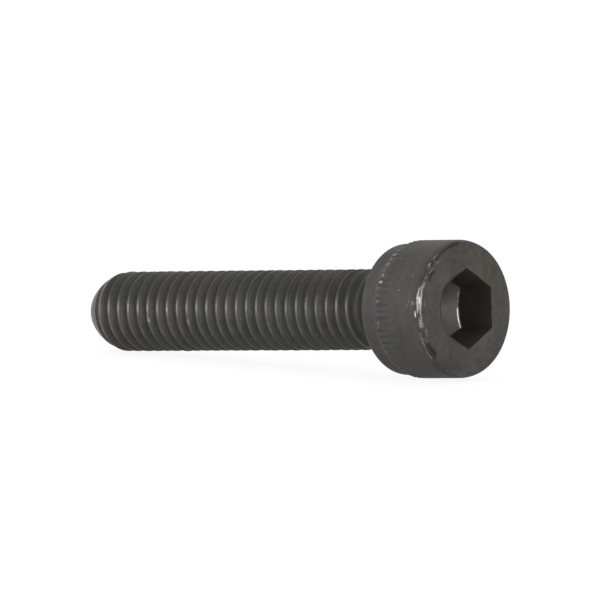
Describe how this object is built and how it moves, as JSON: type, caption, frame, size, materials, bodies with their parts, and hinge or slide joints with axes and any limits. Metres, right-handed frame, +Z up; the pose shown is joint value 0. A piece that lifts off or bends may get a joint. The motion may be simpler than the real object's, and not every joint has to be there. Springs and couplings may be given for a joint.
{
  "type": "hexagon socket head cap screw",
  "caption": "Cylindrical head cap screw in blackened steel, threaded up to the head, with a knurled head side and a hexagon socket, lying on its side.",
  "frame": {"origin": "on the surface the screw lies on, under the middle of its bounding box", "axes": "+Z up; +X from the tip towards the head, level; the screw's own axis lies over X and leans 3.94 degrees, tip down, as the head and the tip both touch the surface"},
  "size_m": [0.0364, 0.01, 0.0102],
  "materials": {
    "black_steel": "black oxide, oiled, satin, with bare metal showing on worn edges"
  },
  "bodies": {
    "root": {"screw": "black_steel"}
  },
  "joints": []
}
